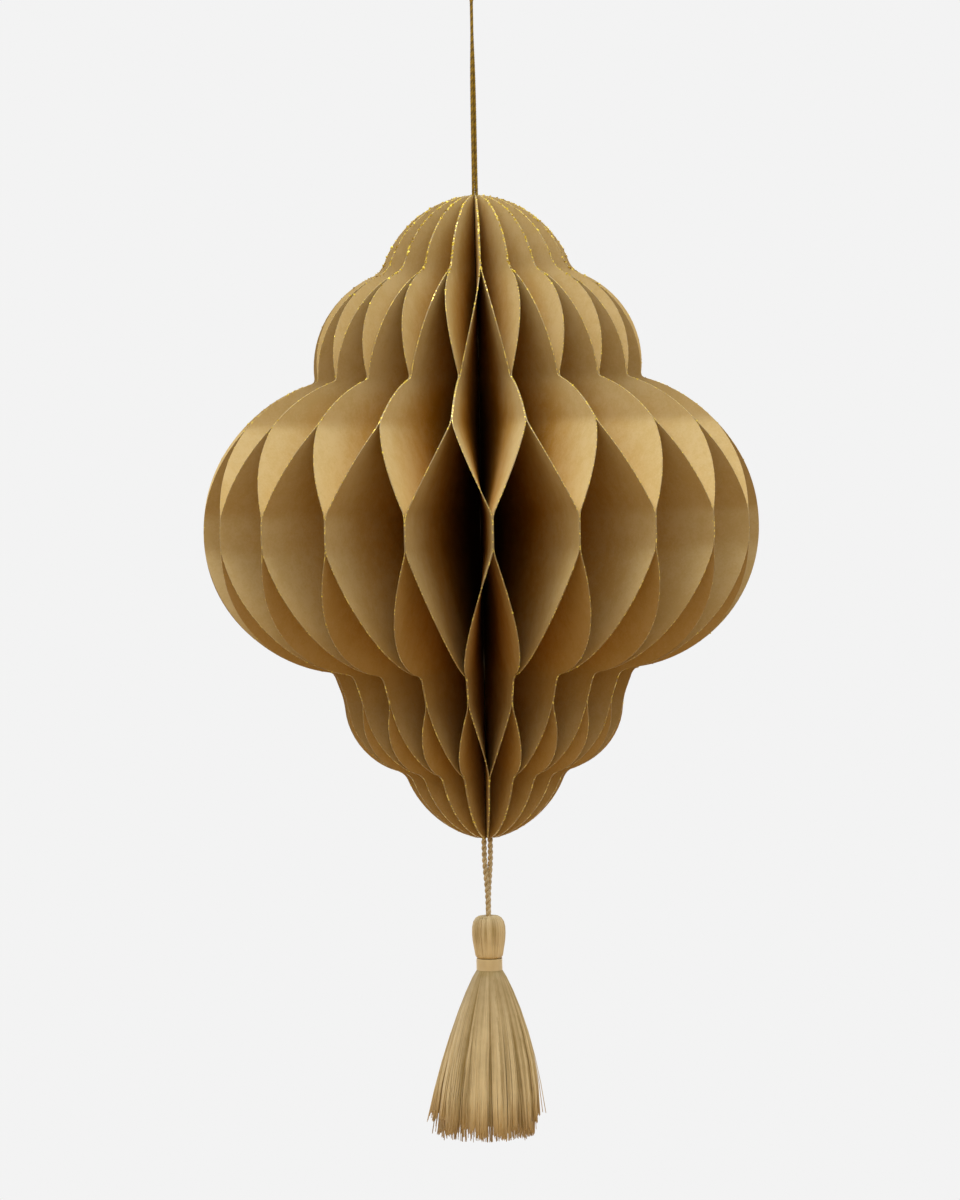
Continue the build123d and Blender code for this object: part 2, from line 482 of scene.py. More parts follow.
def unit(vectors: np.ndarray) -> np.ndarray:
    """The same directions with a length of 1."""
    return vectors / np.linalg.norm(vectors, axis=1)[:, None]


def round_axis(reach: float | np.ndarray, angle: np.ndarray, height: np.ndarray) -> np.ndarray:
    """Points at a reach from the vertical axis, from millimetres to metres."""
    return np.stack([reach * np.cos(angle), reach * np.sin(angle), height], axis=1) * MM


def strand_bundle(
    name: str, strands: list[np.ndarray], radius: list[float], sides: int, shades: list[np.ndarray]
) -> Object:
    """One mesh of many round strands, each with closed ends.

    Args:
        name: The object's name.
        strands: Points of each strand's centre line.
        radius: Radius of each strand.
        sides: Corners of a strand's section.
        shades: Shade at each point of each strand, from 0 (dark) to 1 (light), kept as an attribute; it holds
            painted shade as well as tone.

    Returns:
        The mesh object, smooth shaded.
    """
    points, faces, start = [], [], 0
    turns = np.arange(sides) * 2 * np.pi / sides
    for line, thick in zip(strands, radius):
        along = unit(np.gradient(line, axis=0))
        side = unit(np.cross(along, ASKEW))
        over = np.cross(along, side)
        ring = np.cos(turns)[None, :, None] * side[:, None] + np.sin(turns)[None, :, None] * over[:, None]
        points.append((line[:, None] + thick * ring).reshape(-1, 3))
        count = len(line)
        for row in range(count - 1):
            low, high = start + row * sides, start + (row + 1) * sides
            for corner in range(sides):
                after = (corner + 1) % sides
                faces.append((low + corner, low + after, high + after, high + corner))
        faces.append(tuple(start + corner for corner in reversed(range(sides))))
        faces.append(tuple(start + (count - 1) * sides + corner for corner in range(sides)))
        start += count * sides
    piece = mesh_piece(name, np.concatenate(points), faces)
    piece.data.shade_smooth()
    own = piece.data.attributes.new(SHADE, "FLOAT", "POINT")
    own.data.foreach_set("value", np.repeat(np.clip(np.concatenate(shades), 0, 1), sides))
    return piece


# Paper leaves


class Hand(Enum):
    """Which leaf of its pair a leaf is, seen from outside."""

    LEFT = 1
    RIGHT = -1


@dataclass(frozen=True)
class Arc:
    """Arc of a leaf's outline that bulges outwards between two points (reach, drop), in millimetres."""

    upper: Pair
    lower: Pair
    bulge: float

    def centre(self) -> Triple:
        """Centre and radius.

        Returns:
            Reach and drop of the centre, and the radius.
        """
        across, down = self.lower[0] - self.upper[0], self.lower[1] - self.upper[1]
        chord = math.hypot(across, down)
        radius = (chord**2 / 4 + self.bulge**2) / (2 * self.bulge)
        inset = (radius - self.bulge) / chord
        reach = (self.upper[0] + self.lower[0]) / 2 - inset * down
        return reach, (self.upper[1] + self.lower[1]) / 2 + inset * across, radius

    def points(self, gap: float) -> np.ndarray:
        """Points along the arc.

        Args:
            gap: Distance between them.

        Returns:
            The points past its upper end.
        """
        reach, middle, radius = self.centre()
        first = math.atan2(self.upper[1] - middle, self.upper[0] - reach)
        last = math.atan2(self.lower[1] - middle, self.lower[0] - reach)
        turns = np.linspace(first, last, int(radius * abs(last - first) / gap) + 2)[1:]
        return np.stack([reach + radius * np.cos(turns), middle + radius * np.sin(turns)], axis=1)


def to_waist(widest: Pair, waist: Pair) -> float:
    """Bulge of the arc that is upright at the widest point.

    Args:
        widest: Reach and drop of that point.
        waist: Reach and drop of the arc's other end.

    Returns:
        The bulge.
    """
    inward, apart = widest[0] - waist[0], widest[1] - waist[1]
    radius = (inward**2 + apart**2) / (2 * inward)
    return radius - math.sqrt(radius**2 - (inward**2 + apart**2) / 4)


@dataclass
class LeafOutline:
    """Outline of a leaf with soft waists, and its swing between its neighbours, in millimetres.

    Points are (reach, drop): distance from the axis and distance below the leaves' top. The spans say how
    far a waist is rounded, in times its softness, and how far rows stay close to a crease, in times its size.
    """

    crown_end: Pair = (3.4, 0.0)
    first_waist: Pair = (29.9, 23.7)
    second_waist: Pair = (51.1, 57.2)
    widest: Pair = (86.6, 103.65)
    third_waist: Pair = (47.4, 147.2)
    flare: Pair = (43.9, 156.6)
    fourth_waist: Pair = (25.4, 179.2)
    tip_end: Pair = (4.0, 200.0)
    swings: tuple[Pair, ...] = (
        (0.0, 1.0), (23.7, 1.0), (57.2, -1.0), (71.0, -1.0), (98.1, 1.0), (109.2, 1.0), (147.2, -1.0),
        (156.6, -1.0), (179.2, 1.0), (200.0, 1.0),
    )
    crown_bulge: float = 5.2
    shoulder_bulge: float = 7.2
    flare_bulge: float = 0.02
    hip_bulge: float = 5.2
    tip_bulge: float = 3.7
    softness: tuple[float, ...] = (3.2, 1.4, 2.2, 3.0, 2.6)
    soft_span: float = 2.2
    crease: float = 1.5
    crease_span: float = 2.2
    crease_samples: int = 9
    fine_gap: float = 0.2
    row_gap: float = 2.3
    close_gap: float = 0.8

    def sharp(self) -> np.ndarray:
        """The outline with its waists still sharp.

        Returns:
            Finely spaced points, from the top down.
        """
        arcs = [
            Arc(self.crown_end, self.first_waist, self.crown_bulge),
            Arc(self.first_waist, self.second_waist, self.shoulder_bulge),
            Arc(self.second_waist, self.widest, to_waist(self.widest, self.second_waist)),
            Arc(self.widest, self.third_waist, to_waist(self.widest, self.third_waist)),
            Arc(self.third_waist, self.flare, self.flare_bulge),
            Arc(self.flare, self.fourth_waist, self.hip_bulge),
            Arc(self.fourth_waist, self.tip_end, self.tip_bulge),
        ]
        return np.concatenate([[self.crown_end]] + [arc.points(self.fine_gap) for arc in arcs])

    def soft(self) -> np.ndarray:
        """The same points with the waists rounded.

        Returns:
            The points. Near a waist each is the mean of its neighbours.
        """
        sharp = self.sharp()
        corners = (self.first_waist, self.second_waist, self.third_waist, self.flare, self.fourth_waist)
        rounded = sharp.copy()
        for corner, softness in zip(corners, self.softness):
            away = np.linalg.norm(sharp - corner, axis=1)
            for index in np.nonzero(away < self.soft_span * softness)[0]:
                width = softness * min(1.0, self.soft_span - away[index] / softness)
                near = np.linalg.norm(sharp - sharp[index], axis=1) <= max(width, self.fine_gap / 2)
                rounded[index] = sharp[near].mean(axis=0)
        return rounded

    def swing(self, drop: float) -> float:
        """Swing at a drop, with soft creases.

        Args:
            drop: Distance below the leaves' top.

        Returns:
            From 1, glued to the other leaf of its pair, to -1, glued to the leaf of the next pair.
        """
        drops, values = zip(*self.swings)
        samples = np.linspace(-self.crease, self.crease, self.crease_samples)
        around = np.clip(drop + samples, 0, drops[-1])
        return float(np.interp(around, drops, values).mean())

    def rows(self) -> list[Triple]:
        """Rows of a leaf, closer together near creases and waists.

        Returns:
            Reach, drop and swing of each row, from the top down.
        """
        points = self.soft()
        marks = [drop for drop, _ in self.swings[1:-1]]
        chosen = [0]
        for index in range(1, len(points)):
            nearest = min(abs(points[index][1] - mark) for mark in marks)
            gap = self.close_gap if nearest < self.crease_span * self.crease else self.row_gap
            if np.linalg.norm(points[index] - points[chosen[-1]]) >= gap:
                chosen.append(index)
        chosen[-1] = len(points) - 1
        return [(float(reach), float(drop), self.swing(drop)) for reach, drop in points[chosen]]


@dataclass
class PaperLeaves:
    """The cut leaves, glued by turns to the left and to the right in stripes, in millimetres and degrees.

    The shade depth is the distance from the outer edge over which the UV map's X falls from 1 towards 0, and
    the paper's painted shade darkens with it. It grows with half of the leaf's reach.
    """

    outline: LeafOutline = field(default_factory=LeafOutline)
    pair_count: int = 21
    paper: float = 0.25
    first_pair_turn: float = 2.2
    top: float = -70.0
    inner_reach: float = 2.45
    trim: float = 0.08
    shade_depth: float = 41.0
    columns: int = 9
    smooth_angle: float = 50.0
    rows: list[Triple] = field(default_factory=list)

    def model(self) -> Object:
        """Models one leaf, from a grid whose rows are widened, raised and swung one by one.

        Returns:
            The leaf of the left hand, with its middle plane on +X.
        """
        deselect_everything()
        strips = len(self.rows) - 1
        bpy.ops.mesh.primitive_grid_add(x_subdivisions=self.columns, y_subdivisions=strips, size=2)
        leaf = bpy.context.object
        quarter = 90 / self.pair_count
        axis, near = (0, 0, 0), 1e-4
        bpy.ops.object.mode_set(mode="EDIT")
        mesh = bmesh.from_edit_mesh(leaf.data)
        levels = sorted({round(vertex.co.y, 5) for vertex in mesh.verts}, reverse=True)
        for level, (reach, drop, swing) in zip(levels, self.rows):
            select_vertices(leaf, lambda place, level=level: place.z == 0 and abs(place.y - level) < near)
            half = (reach - self.trim - self.inner_reach) / 2 * MM
            bpy.ops.transform.resize(value=(half, 1, 1), center_override=axis)
            aside = -level - self.paper / 2 * swing * MM
            shift = (self.inner_reach * MM + half, aside, (self.top - drop) * MM)
            bpy.ops.transform.translate(value=shift)
            turn = -math.radians(quarter * swing)
            bpy.ops.transform.rotate(value=turn, orient_axis="Z", center_override=axis)
        bpy.ops.object.mode_set(mode="OBJECT")
        self.shade_inwards(leaf.data)
        bpy.ops.object.modifier_add(type="SOLIDIFY")
        solid = leaf.modifiers[-1]
        solid.thickness = self.paper * MM
        solid.offset = 0.0
        solid.material_offset_rim = 1
        leaf.data.materials.append(PearlPaper().material())
        leaf.data.materials.append(CutEdge().material())
        bpy.ops.object.modifier_apply(modifier=solid.name)
        bpy.ops.object.shade_smooth_by_angle(angle=math.radians(self.smooth_angle))
        return leaf

    def shade_inwards(self, mesh: Mesh) -> None:
        """Makes the UV map's X say how far a point is from the leaf's outer edge, for the paper's painted
        shade.

        Args:
            mesh: The leaf, still one layer, with X from 0 at the spine to 1 at the edge.
        """
        reaches, drops, _ = zip(*self.rows)
        for loop, spot in zip(mesh.loops, mesh.uv_layers.active.data):
            drop = self.top - mesh.vertices[loop.vertex_index].co.z / MM
            reach = float(np.interp(drop, drops, reaches))
            spot.uv.x = 1 - (1 - spot.uv.x) * (reach - self.inner_reach) / (self.shade_depth + reach / 2)

    def stand(self, number: int) -> tuple[Hand, float]:
        """How a leaf stands round the axis.

        Args:
            number: The leaf, counted from 0.

        Returns:
            Its hand, and the turn of its middle plane.
        """
        pair, other = divmod(number, 2)
        hand = Hand.RIGHT if other else Hand.LEFT
        pair_turn = 360 / self.pair_count
        return hand, -90 + self.first_pair_turn + pair * pair_turn - hand.value * pair_turn / 4

    def build(self) -> None:
        """Copies the modelled leaf round the axis, the mirrored hand by turns."""
        self.rows = self.outline.rows()
        left = self.model()
        right = bpy.data.objects.new("right", left.data.copy())
        right.data.transform(Matrix.Scale(-1, 4, (0, 1, 0)))
        right.data.flip_normals()
        for number in range(2 * self.pair_count):
            hand, turn = self.stand(number)
            source = left if hand is Hand.LEFT else right
            leaf = new_object("leaf", source.data.copy())
            leaf.data.transform(Matrix.Rotation(math.radians(turn), 4, "Z"))
            node = f"leaf_{number + 1:02d}"
            finish_piece(leaf, f"paper_{node}", node)
        bpy.data.objects.remove(left)
        bpy.data.objects.remove(right)

    def edge_place(self, number: int, row: int) -> Vector:
        """Place of a row's outer corner on one leaf.

        Args:
            number: The leaf, counted from 0.
            row: The row, counted from the top.

        Returns:
            The place, in metres.
        """
        reach, drop, swing = self.rows[row]
        hand, middle = self.stand(number)
        turn = math.radians(middle + hand.value * swing * (360 / self.pair_count) / 4)
        out, aside = reach - self.trim, -hand.value * self.paper / 2 * swing
        x = out * math.cos(turn) - aside * math.sin(turn)
        y = out * math.sin(turn) + aside * math.cos(turn)
        return Vector((x, y, self.top - drop)) * MM


@dataclass
class EdgeGlitter:
    """Gold flakes stuck along the outer edges of the leaves, in millimetres.

    The density is (drop, flakes a millimetre). Below the crown the flakes are finer. Round the belly's widest
    point they sit further inward, because nothing may stand out past the paper there.
    """

    leaves: PaperLeaves
    density: tuple[Pair, ...] = (
        (0, 0.3), (3, 1.5), (24, 1.5), (27, 0.5), (55, 0.35), (58, 1.1), (71, 1.0), (74, 0.3), (96, 0.14),
        (99, 0.4), (108, 0.4), (112, 0.14), (145, 0.14), (148, 0.5), (156, 0.5), (160, 0.2), (178, 0.15),
        (181, 0.35), (200, 0.2),
    )
    crown_drop: float = 30.0
    finer: float = 0.7
    smallest: float = 0.14
    largest: float = 0.55
    thickness: float = 0.35
    inward: Pair = (-0.02, 0.15)
    belly_drop: float = 103.0
    belly_half: float = 16.0
    belly_inward: float = 0.3
    seed: int = 11

    def flake(self, place: Vector, size: float, normal: Vector) -> list[Vector]:
        """Corners of a flat flake.

        Args:
            place: Its middle.
            size: From there to its outer corners.
            normal: The way it faces.

        Returns:
            Four corners round it, then one on each face.
        """
        side = normal.orthogonal().normalized()
        over = normal.cross(side)
        corners = [place + size * side, place + size * over, place - size * side, place - size * over]
        return corners + [place + normal * size * self.thickness, place - normal * size * self.thickness]

    def build(self) -> None:
        """Scatters the flakes, thickest at the crown and at the waists."""
        draw = np.random.default_rng(self.seed)
        drops, rates = zip(*self.density)
        points, faces = [], []
        for number in range(2 * self.leaves.pair_count):
            for row in range(len(self.leaves.rows) - 1):
                start = self.leaves.edge_place(number, row)
                end = self.leaves.edge_place(number, row + 1)
                drop = self.leaves.rows[row][1]
                deeper = self.belly_inward if abs(drop - self.belly_drop) < self.belly_half else 0.0
                scale = 1.0 if drop < self.crown_drop else self.finer
                rate = float(np.interp(drop, drops, rates))
                for _ in range(draw.poisson(rate * (end - start).length / MM)):
                    place = start.lerp(end, draw.random())
                    inward = draw.uniform(*self.inward) + deeper
                    place += Vector((-place.x, -place.y, 0)).normalized() * inward * MM
                    size = self.smallest + (self.largest - self.smallest) * draw.random() ** 2
                    size *= scale
                    first = len(points)
                    points += self.flake(place, size * MM, Vector(draw.normal(size=3)).normalized())
                    for corner in range(4):
                        after = (corner + 1) % 4
                        faces.append((first + corner, first + after, first + 4))
                        faces.append((first + after, first + corner, first + 5))
        piece = mesh_piece("edge_glitter", np.array([tuple(point) for point in points]), faces)
        finish_piece(piece, "edge_glitter", finish=GlitterFlake().material())


# Cords


@dataclass
class TwistedCord:
    """A doubled cord of twisted plies, in millimetres.

    Its route is a list of control points, and the pitch is the distance from ply to ply along the cord.
    """

    name: str
    node: str
    slot: str
    yarn: TwistedYarn
    diameter: float
    # A ply's lower shade is painted shade for the grooves between the plies
    ply_shades: tuple[float, ...]
    ply_radius: float
    pitch: float
    route: list[Triple]
    ply_sides: int = 8
    step: float = 0.35
    resolution: int = 40

    def centre_line(self) -> np.ndarray:
        """Points of the route's smooth spline.

        Returns:
            Places along the spline, in metres.
        """
        curve = bpy.data.curves.new(self.name + "_route", "CURVE")
        curve.dimensions = "3D"
        curve.resolution_u = self.resolution
        spline = curve.splines.new("NURBS")
        spline.points.add(len(self.route) - 1)
        for point, (x, y, z) in zip(spline.points, self.route):
            point.co = (x * MM, y * MM, z * MM, 1.0)
        spline.order_u = 3
        spline.use_endpoint_u = True
        holder = new_object(self.name + "_route", curve)
        bpy.context.view_layer.update()
        line = bpy.data.meshes.new_from_object(holder.evaluated_get(bpy.context.evaluated_depsgraph_get()))
        points = np.array([tuple(vertex.co) for vertex in line.vertices])
        bpy.data.objects.remove(holder)
        bpy.data.meshes.remove(line)
        return points

    def even(self, points: np.ndarray) -> np.ndarray:
        """Divides a line into equal steps.

        Args:
            points: Points along it, in metres.

        Returns:
            Points on the same line, a step apart.
        """
        lengths = np.concatenate([[0], np.cumsum(np.linalg.norm(np.diff(points, axis=0), axis=1))])
        wanted = np.linspace(0, lengths[-1], int(lengths[-1] / (self.step * MM)) + 1)
        return np.stack([np.interp(wanted, lengths, points[:, axis]) for axis in range(3)], axis=1)

    def plies(self, line: np.ndarray, length: float) -> list[np.ndarray]:
        """Winds the plies round a line.

        Args:
            line: Points along the cord, in metres.
            length: The line's length.

        Returns:
            The centre line of each ply.
        """
        along = unit(np.gradient(line, axis=0))
        side = np.zeros_like(line)
        side[0] = np.cross(along[0], (0, 1, 0))
        for index in range(1, len(line)):
            side[index] = side[index - 1] - along[index] * np.dot(side[index - 1], along[index])
            side[index] /= np.linalg.norm(side[index])
        over = np.cross(along, side)
        run = np.linspace(0, length, len(line))
        out = (self.diameter / 2 - self.ply_radius) * MM
        count = len(self.ply_shades)
        turns = [2 * np.pi * (run / (self.pitch * count * MM) + ply / count) for ply in range(count)]
        return [line + out * (np.cos(turn)[:, None] * side + np.sin(turn)[:, None] * over) for turn in turns]

    def build(self) -> None:
        line = self.even(self.centre_line())
        length = float(np.linalg.norm(np.diff(line, axis=0), axis=1).sum())
        strands = self.plies(line, length)
        radii = [self.ply_radius * MM] * len(strands)
        shades = [np.full(len(line), shade) for shade in self.ply_shades]
        piece = strand_bundle(self.name, strands, radii, self.ply_sides, shades)
        finish_piece(piece, self.name, self.node, self.yarn.material())
        log.info("%s: %.1f mm long", self.name, length / MM)


HANGER_LEG = [
    (-0.52, 0.0, -75.95), (-0.52, -0.05, -71.0), (-0.44, -0.29, -64.0), (-0.44, -0.29, -44.0),
    (-0.34, -0.4, -31.0), (0.0, -0.54, -20.0), (0.0, -0.58, -12.5), (0.0, -0.62, -8.5), (-3.7, 0.0, 0.525),
]
TASSEL_LEG = [
    (-0.97, 0.0, -264.05), (-0.98, 0.0, -272.0), (-0.92, -0.3, -278.0), (-0.2, -0.96, -286.0),
    (0.0, -1.0, -293.0), (0.0, -2.1, -299.7),
]


def there_and_back(leg: list[Triple]) -> list[Triple]:
    """Route over one leg and back along the other, which is the first one turned half round the axis."""
    return leg + [(-x, -y, z) for x, y, z in reversed(leg)]


HANGING_CORD = TwistedCord(
    name="hanging_cord",
    node="hanger_cord",
    slot="gold_cord",
    yarn=GOLD_YARN,
    diameter=1.05,
    # The first ply is darker as painted shade for the grooves between the plies
    ply_shades=(0.15, 0.75, 0.95),
    ply_radius=0.31,
    pitch=0.8,
    route=there_and_back(HANGER_LEG),
)
TASSEL_CORD = TwistedCord(
    name="silk_cord",
    node="tassel_cord",
    slot="tassel_silk",
    yarn=CORD_SILK,
    diameter=1.75,
    # The first ply is darker as painted shade for the grooves between the plies
    ply_shades=(0.45, 0.8),
    ply_radius=0.47,
    pitch=1.9,
    route=there_and_back(TASSEL_LEG),
)


# Tassel


@dataclass
class Tassel:
    """Head, bound neck and skirt of the tassel, in millimetres.

    The head's outline is (radius, drop below its top), from its dimple to the groove above the binding, and
    its painted head shade is (drop, shade of its darker yarns): painted shade, darkest in the upper head and
    light towards the binding. Pairs of numbers are the limits of random draws.
    """

    silk: Material
    head_top: float = -294.7
    head_outline: tuple[Pair, ...] = (
        (0.9, 1.2), (1.5, 0.55), (2.3, 0.2), (3.3, 0.35), (4.2, 0.95), (4.85, 2.0), (5.2, 3.6), (5.25, 5.6),
        (5.1, 7.6), (4.8, 9.5), (4.5, 11.2), (4.3, 12.4), (3.9, 12.95), (3.3, 13.2),
    )
    painted_head_shade: tuple[Pair, ...] = (
        (0.0, 0.6), (2.5, 0.2), (6.0, 0.1), (10.0, 0.75), (13.2, 0.9),
    )
    crest_shade: float = 0.95
    head_yarns: int = 92
    head_yarn_radius: float = 0.27
    head_core_inset: float = 0.45
    neck_radius: float = 3.7
    neck_top: float = -307.9
    neck_core_inset: float = 0.3
    binding_height: float = 4.0
    thread_turns: int = 11
    thread_radius: float = 0.22
    thread_sunk: float = 0.05
    thread_shade: float = 0.85
    skirt_length: float = 52.5
    skirt_start: float = 3.9
    skirt_flare: float = 0.85
    skirt_rows: int = 8
    core_share: float = 0.82
    core_end: float = 0.9
    hem_radius: float = 16.6
    lean: float = 0.12
    lock_count: int = 30
    lock_width: Pair = (0.7, 1.25)
    lock_length: Pair = (0.93, 1.0)
    lock_out: Pair = (-1.1, 0.8)
    lock_shade: Pair = (0.5, 1.0)
    lock_drift: float = 0.06
    shorter_aside: float = 0.06
    strands_per_lock: int = 52
    strand_radius: float = 0.115
    strand_length: Pair = (0.94, 1.0)
    stray_share: float = 0.04
    stray_out: Pair = (0.5, 2.2)
    under_strands: int = 850
    under_out: float = -1.3
    # Painted shade of the layer under the locks
    under_painted_shade: float = 0.1
    core_corners: int = 48
    seed: int = 5

    def head_profile(self, inset: float = 0.0) -> list[Pair]:
        """Radius and height of each ring of the head, less an inset."""
        return [(radius - inset, self.head_top - drop) for radius, drop in self.head_outline]

    def build_head(self) -> None:
        """Yarns folded over the cord, laid side by side over a core in uneven dark and light groups, with
        painted shade.
        """
        draw = np.random.default_rng(self.seed)
        profile = np.array(self.head_profile())
        strands, radii, shades = [], [], []
        # Painted shade: the darker yarns are darkest in the upper head and light towards the binding
        low = np.interp(self.head_top - profile[:, 1], *zip(*self.painted_head_shade))
        for yarn in range(self.head_yarns):
            group = math.sin(0.55 * yarn + 2 * math.sin(0.19 * yarn))
            share = 0.5 + 0.5 * group * draw.uniform(0.6, 1.0)
            shades.append(low + share * (self.crest_shade - low) + draw.normal(0, 0.08))
            turn = 2 * math.pi * (yarn + draw.uniform(-0.2, 0.2)) / self.head_yarns
            wander = np.cumsum(draw.normal(0, 0.008, len(profile)))
            reach = profile[:, 0] - self.head_yarn_radius + draw.uniform(-0.05, 0.05)
            strands.append(round_axis(reach, turn + wander, profile[:, 1]))
            radii.append(self.head_yarn_radius * draw.uniform(0.9, 1.15) * MM)
        piece = strand_bundle("head_yarns", strands, radii, 6, shades)
        self.core("head_core", self.head_profile(self.head_core_inset))
        finish_piece(piece, "head_yarns", "tassel_yarns", self.silk)

    def core(self, name: str, profile: list[Pair]) -> None:
        """Closed round body under the yarns, from a circle that is extruded and widened ring by ring. Without
        a shade attribute it takes nearly the dark silk colour, as painted shade between the yarns.

        Args:
            name: The piece's name.
            profile: Radius and height of each ring, from the top down.
        """
        deselect_everything()
        radius, height = profile[0]
        bpy.ops.mesh.primitive_circle_add(
            vertices=self.core_corners, radius=radius * MM, fill_type="NGON", location=(0, 0, height * MM)
        )
        core = bpy.context.object
        bpy.ops.object.transform_apply(location=True, rotation=True, scale=True)
        bpy.ops.object.mode_set(mode="EDIT")
        bpy.ops.mesh.select_all(action="SELECT")
        for (last_radius, last_height), (radius, height) in zip(profile, profile[1:]):
            step = (0, 0, (height - last_height) * MM)
            bpy.ops.mesh.extrude_region_move(TRANSFORM_OT_translate={"value": step})
            share = radius / last_radius
            bpy.ops.transform.resize(value=(share, share, 1), center_override=(0, 0, height * MM))
        bpy.ops.mesh.select_all(action="SELECT")
        bpy.ops.mesh.normals_make_consistent(inside=False)
        bpy.ops.object.mode_set(mode="OBJECT")
        bpy.ops.object.shade_smooth()
        finish_piece(core, name, finish=self.silk)

    def build_binding(self) -> None:
        """Thread wound round the neck, turn on turn."""
        turns = np.linspace(0, 2 * np.pi * self.thread_turns, self.thread_turns * self.core_corners)
        fall = np.linspace(self.thread_radius, self.binding_height - self.thread_radius, len(turns))
        reach = self.neck_radius + self.thread_radius - self.thread_sunk
        line = round_axis(reach, turns, self.neck_top - fall)
        shade = np.full(len(line), self.thread_shade)
        piece = strand_bundle("neck_thread", [line], [self.thread_radius * MM], 8, [shade])
        finish_piece(piece, "neck_thread", "neck_binding", self.silk)
        radius = self.neck_radius - self.neck_core_inset
        top, bottom = self.neck_top + 0.6, self.neck_top - self.binding_height - 0.4
        self.core("neck_core", [(radius, top), (radius, bottom)])

    def skirt_reach(self, share: float | np.ndarray) -> float | np.ndarray:
        """Radius of the skirt at a share of its length."""
        flare = np.sin(np.pi / 2 * np.clip(share, 0, 1) ** self.skirt_flare)
        return self.skirt_start + (self.hem_radius - self.skirt_start) * flare

    def build_skirt(self) -> None:
        """Locks of fine yarns that spread from the neck to a ragged hem, further out on the left.

        The last lock is a layer of yarns all round, under the others, darkened as painted shade. In a lock
        the yarns at its sides and inside lie further in and are darkened as painted shade, and painted light
        and shade make all yarns lighter towards the hem and darker under the neck.
        """
        draw = np.random.default_rng(self.seed + 1)
        start = self.neck_top - self.binding_height + 0.3
        rows = np.linspace(0, 1, self.skirt_rows) ** 1.5
        # Painted light and shade: the skirt is darker under the neck and lighter towards the hem
        painted_height_light = 0.55 + np.interp(rows, (0, 0.3, 1), (-0.25, -0.1, 0.35))
        contrast = np.interp(rows, (0, 0.5, 1), (0.35, 1, 1))
        strands, radii, shades = [], [], []
        for lock in range(self.lock_count + 1):
            under = lock == self.lock_count
            lock_turn = 2 * math.pi * (lock + draw.uniform(-0.35, 0.35)) / self.lock_count
            half = math.pi if under else math.pi / self.lock_count * draw.uniform(*self.lock_width)
            narrowing = 1.0 if under else 1.3 - 0.4 * rows**2
            lock_length = draw.uniform(*self.lock_length)
            lock_length -= 0.0 if under else self.shorter_aside * math.cos(lock_turn) ** 2
            lock_out = self.under_out if under else draw.uniform(*self.lock_out)
            drift = draw.normal(0, self.lock_drift)
            lock_shade = self.under_painted_shade if under else draw.uniform(*self.lock_shade)
            for _ in range(self.under_strands if under else self.strands_per_lock):
                across, inside = draw.uniform(-1, 1), draw.exponential(0.25)
                round_lock = 0.0 if under else across**2
                share = rows * lock_length * draw.uniform(*self.strand_length)
                stray = draw.uniform(*self.stray_out) if draw.random() < self.stray_share else 0.0
                angle = lock_turn + drift * rows + half * across * narrowing
                angle = angle + 0.015 * np.sin(rows * draw.uniform(2, 6) + draw.uniform(0, 6.28)) * rows
                reach = self.skirt_reach(share) * (1 - self.lean * np.cos(angle) * rows**1.5)
                reach = reach + (lock_out - 0.8 * round_lock - inside) * rows
                reach = reach - self.strand_radius + stray * rows**3
                strands.append(round_axis(reach, angle, start - share * self.skirt_length))
                radii.append(self.strand_radius * draw.uniform(0.8, 1.2) * MM)
                # Painted shade: yarns at a lock's sides and inside it are darker
                shade = lock_shade - 0.5 * round_lock - 0.25 * inside + draw.normal(0, 0.13)
                shades.append(painted_height_light + (shade - 0.45) * contrast)
        piece = strand_bundle("skirt_yarns", strands, radii, 4, shades)
        finish_piece(piece, "skirt_yarns", finish=self.silk)
        shares = np.linspace(0, self.core_end, self.skirt_rows)
        reaches = [self.core_share * float(self.skirt_reach(share)) for share in shares]
        self.core("skirt_core", list(zip(reaches, start - shares * self.skirt_length)))

    def build(self) -> None:
        """Builds head, binding and skirt."""
        self.build_head()
        self.build_binding()
        self.build_skirt()


# Studio


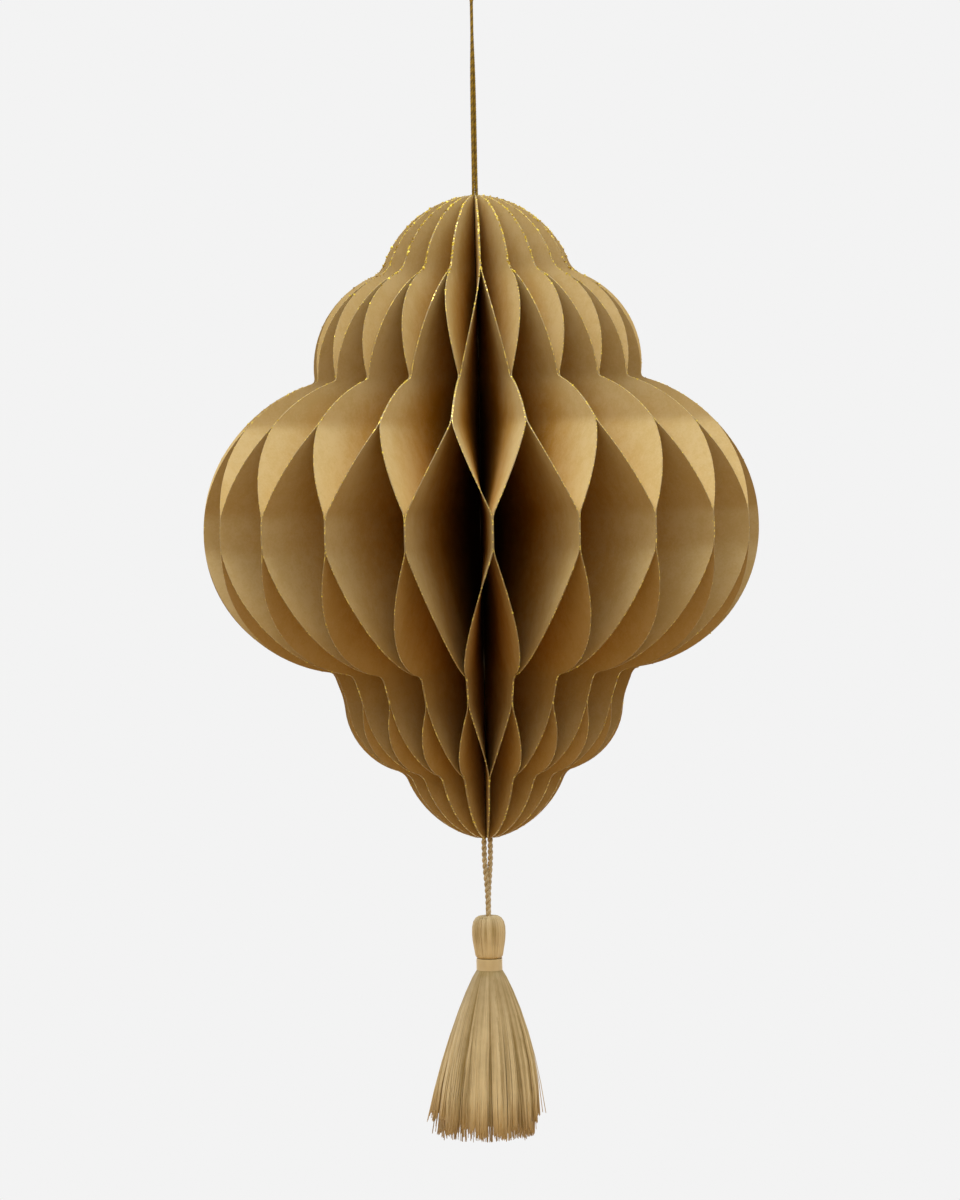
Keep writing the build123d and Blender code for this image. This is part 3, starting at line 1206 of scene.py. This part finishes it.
@dataclass
class Studio:
    """Camera, lamp, background and floor, in metres, degrees and watts.

    The sky is where the world's light grows from dim and warm to bright. The shadow is where the lit floor
    passes into the plain background, and its share is how much of the lit floor shows below the ornament.
    """

    distance: float = 1.2
    eye_height: float = -0.154
    aim_height: float = -0.1958
    aside: float = -0.0008
    lens: float = 115.35
    roll: float = -1.08
    far: float = 20.0
    background: Colour = rgba(0.896, 0.896, 0.896)
    sky: Pair = (0.03, 0.53)
    above: Colour = rgba(0.98, 1.0, 1.03)
    below: Colour = rgba(1.0, 0.7, 0.35)
    bright: float = 1.3
    dim: float = 0.14
    table: Colour = rgba(0.32, 0.185, 0.06)
    cloth: Colour = rgba(0.6, 0.6, 0.6)
    floor_height: float = -0.55
    floor_radius: float = 6.0
    shadow: Pair = (0.1, 0.55)
    shadow_share: float = 0.45
    lamp_place: Triple = (-0.2, -0.12, 1.08)
    lamp_aim: Triple = (0.0, 0.0, -0.17)
    lamp_size: float = 0.36
    lamp_power: float = 9.0

    def build_camera(self) -> None:
        """Camera on the ornament's front, a little above its middle."""
        data = bpy.data.cameras.new("camera")
        data.lens = self.lens
        data.clip_end = self.far
        camera = new_object("camera", data)
        place = Vector((self.aside, -self.distance, self.eye_height))
        aim = Vector((self.aside, 0.0, self.aim_height))
        turn = (aim - place).to_track_quat("-Z", "Y").to_matrix().to_4x4()
        roll = Matrix.Rotation(math.radians(self.roll), 4, "Z")
        camera.matrix_world = Matrix.Translation(place) @ turn @ roll
        bpy.context.scene.camera = camera

    def build_lamp(self) -> None:
        """One soft square lamp above, which points at the ornament's middle."""
        data = bpy.data.lights.new("top_lamp", "AREA")
        data.size = self.lamp_size
        data.energy = self.lamp_power
        lamp = new_object("top_lamp", data)
        lamp.location = self.lamp_place
        lamp.rotation_mode = "QUATERNION"
        lamp.rotation_quaternion = (Vector(self.lamp_aim) - Vector(self.lamp_place)).to_track_quat("-Z", "Y")

    def build_world(self) -> None:
        """World that shows the pale background to the rays that see it, and lights from above."""
        shader = Shader("studio", world=True)
        height = shader.node("ShaderNodeSeparateXYZ", {}, {0: shader.place()}, "Z")
        up = height.ramp(*self.sky)
        strength = up * (self.bright - self.dim) + self.dim
        soft = {"Color": shader.mix(up, self.below, self.above), "Strength": strength}
        lit = shader.node("ShaderNodeBackground", {}, soft)
        plain = shader.node("ShaderNodeBackground", {}, {"Color": self.background})
        mixed = shader.node("ShaderNodeMixShader", {}, {0: self.seen(shader), 1: lit, 2: plain})
        bpy.context.scene.world = shader.end(mixed)

    def seen(self, shader: Shader) -> Signal:
        """Tells the rays that show a surface as it looks from the others.

        Args:
            shader: The shader that uses it.

        Returns:
            1 for camera, glossy and transmission rays.
        """
        path = shader.node("ShaderNodeLightPath", {}, {}, "Is Camera Ray")
        glossy, through = path.sibling("Is Glossy Ray"), path.sibling("Is Transmission Ray")
        return path.math("MAXIMUM", glossy).math("MAXIMUM", through)

    def build_floor(self) -> None:
        """Pale floor far below the ornament. Away from the axis it has the background's colour."""
        deselect_everything()
        bpy.ops.mesh.primitive_circle_add(
            vertices=96, radius=self.floor_radius, fill_type="NGON", location=(0, 0, self.floor_height)
        )
        floor = bpy.context.object
        floor.name = "floor"
        shader = Shader("pale_floor")
        across = shader.node("ShaderNodeSeparateXYZ", {}, {0: shader.place()}, "X")
        along = across.sibling("Y")
        near = 1.0 - (across * across + along * along).math("SQRT").ramp(*self.shadow)
        seen = self.seen(shader)
        lit = shader.node("ShaderNodeBsdfDiffuse", {}, {"Color": shader.mix(seen, self.table, self.cloth)})
        plain = shader.node("ShaderNodeEmission", {}, {"Color": self.background, "Strength": 1.0})
        share = seen * (1.0 - near * self.shadow_share)
        mixed = shader.node("ShaderNodeMixShader", {}, {0: share, 1: lit, 2: plain})
        floor.data.materials.append(shader.end(mixed))

    def build(self) -> None:
        """Builds the whole studio."""
        self.build_camera()
        self.build_world()
        self.build_floor()
        self.build_lamp()
        bpy.context.scene.view_settings.view_transform = "Standard"


def main() -> None:
    """Builds the ornament piece by piece, then the studio."""
    logging.basicConfig(level=logging.INFO, format="%(name)s: %(message)s")
    leaves = PaperLeaves()
    leaves.build()
    EdgeGlitter(leaves).build()
    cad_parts["spine"].data.materials.clear()
    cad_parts["spine"].data.materials.append(GluedSpine().material())
    HANGING_CORD.build()
    TASSEL_CORD.build()
    Tassel(TASSEL_SILK.material()).build()
    Studio().build()


if __name__ == "__main__":
    main()
